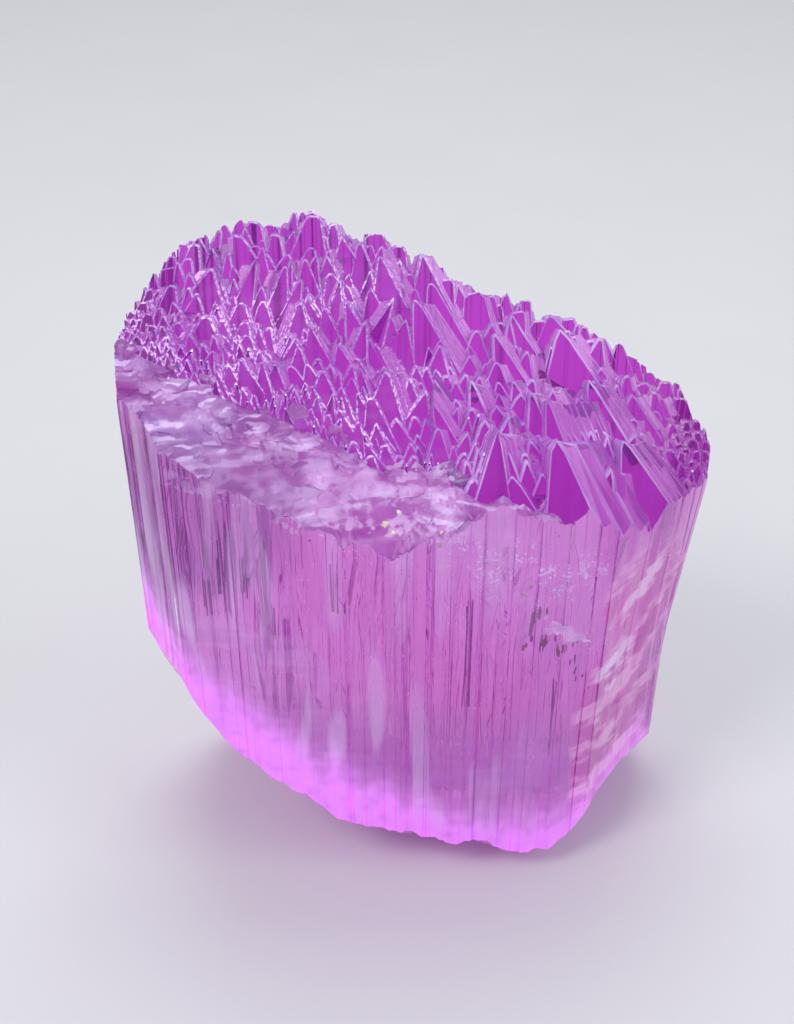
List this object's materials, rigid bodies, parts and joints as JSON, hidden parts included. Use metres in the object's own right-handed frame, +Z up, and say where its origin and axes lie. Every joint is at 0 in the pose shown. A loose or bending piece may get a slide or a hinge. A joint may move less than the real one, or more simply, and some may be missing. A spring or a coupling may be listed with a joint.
{
  "type": "kunzite crystal",
  "caption": "Loose transparent lilac crystal: a striated, flattened prism with a roof of shingled steeples, standing on its broken lower end.",
  "frame": {"origin": "middle of the bounding box on the plane that the crystal stands on", "axes": "+Z up along the crystal's long axis, +X along its width towards the lower end of the roof, +Y to the back"},
  "size_m": [0.0346, 0.0164, 0.039],
  "materials": {
    "kunzite": "transparent lilac crystal, glossy on its faces and frosted where it is broken"
  },
  "bodies": {
    "root": {"kunzite_crystal": "kunzite"}
  },
  "joints": []
}
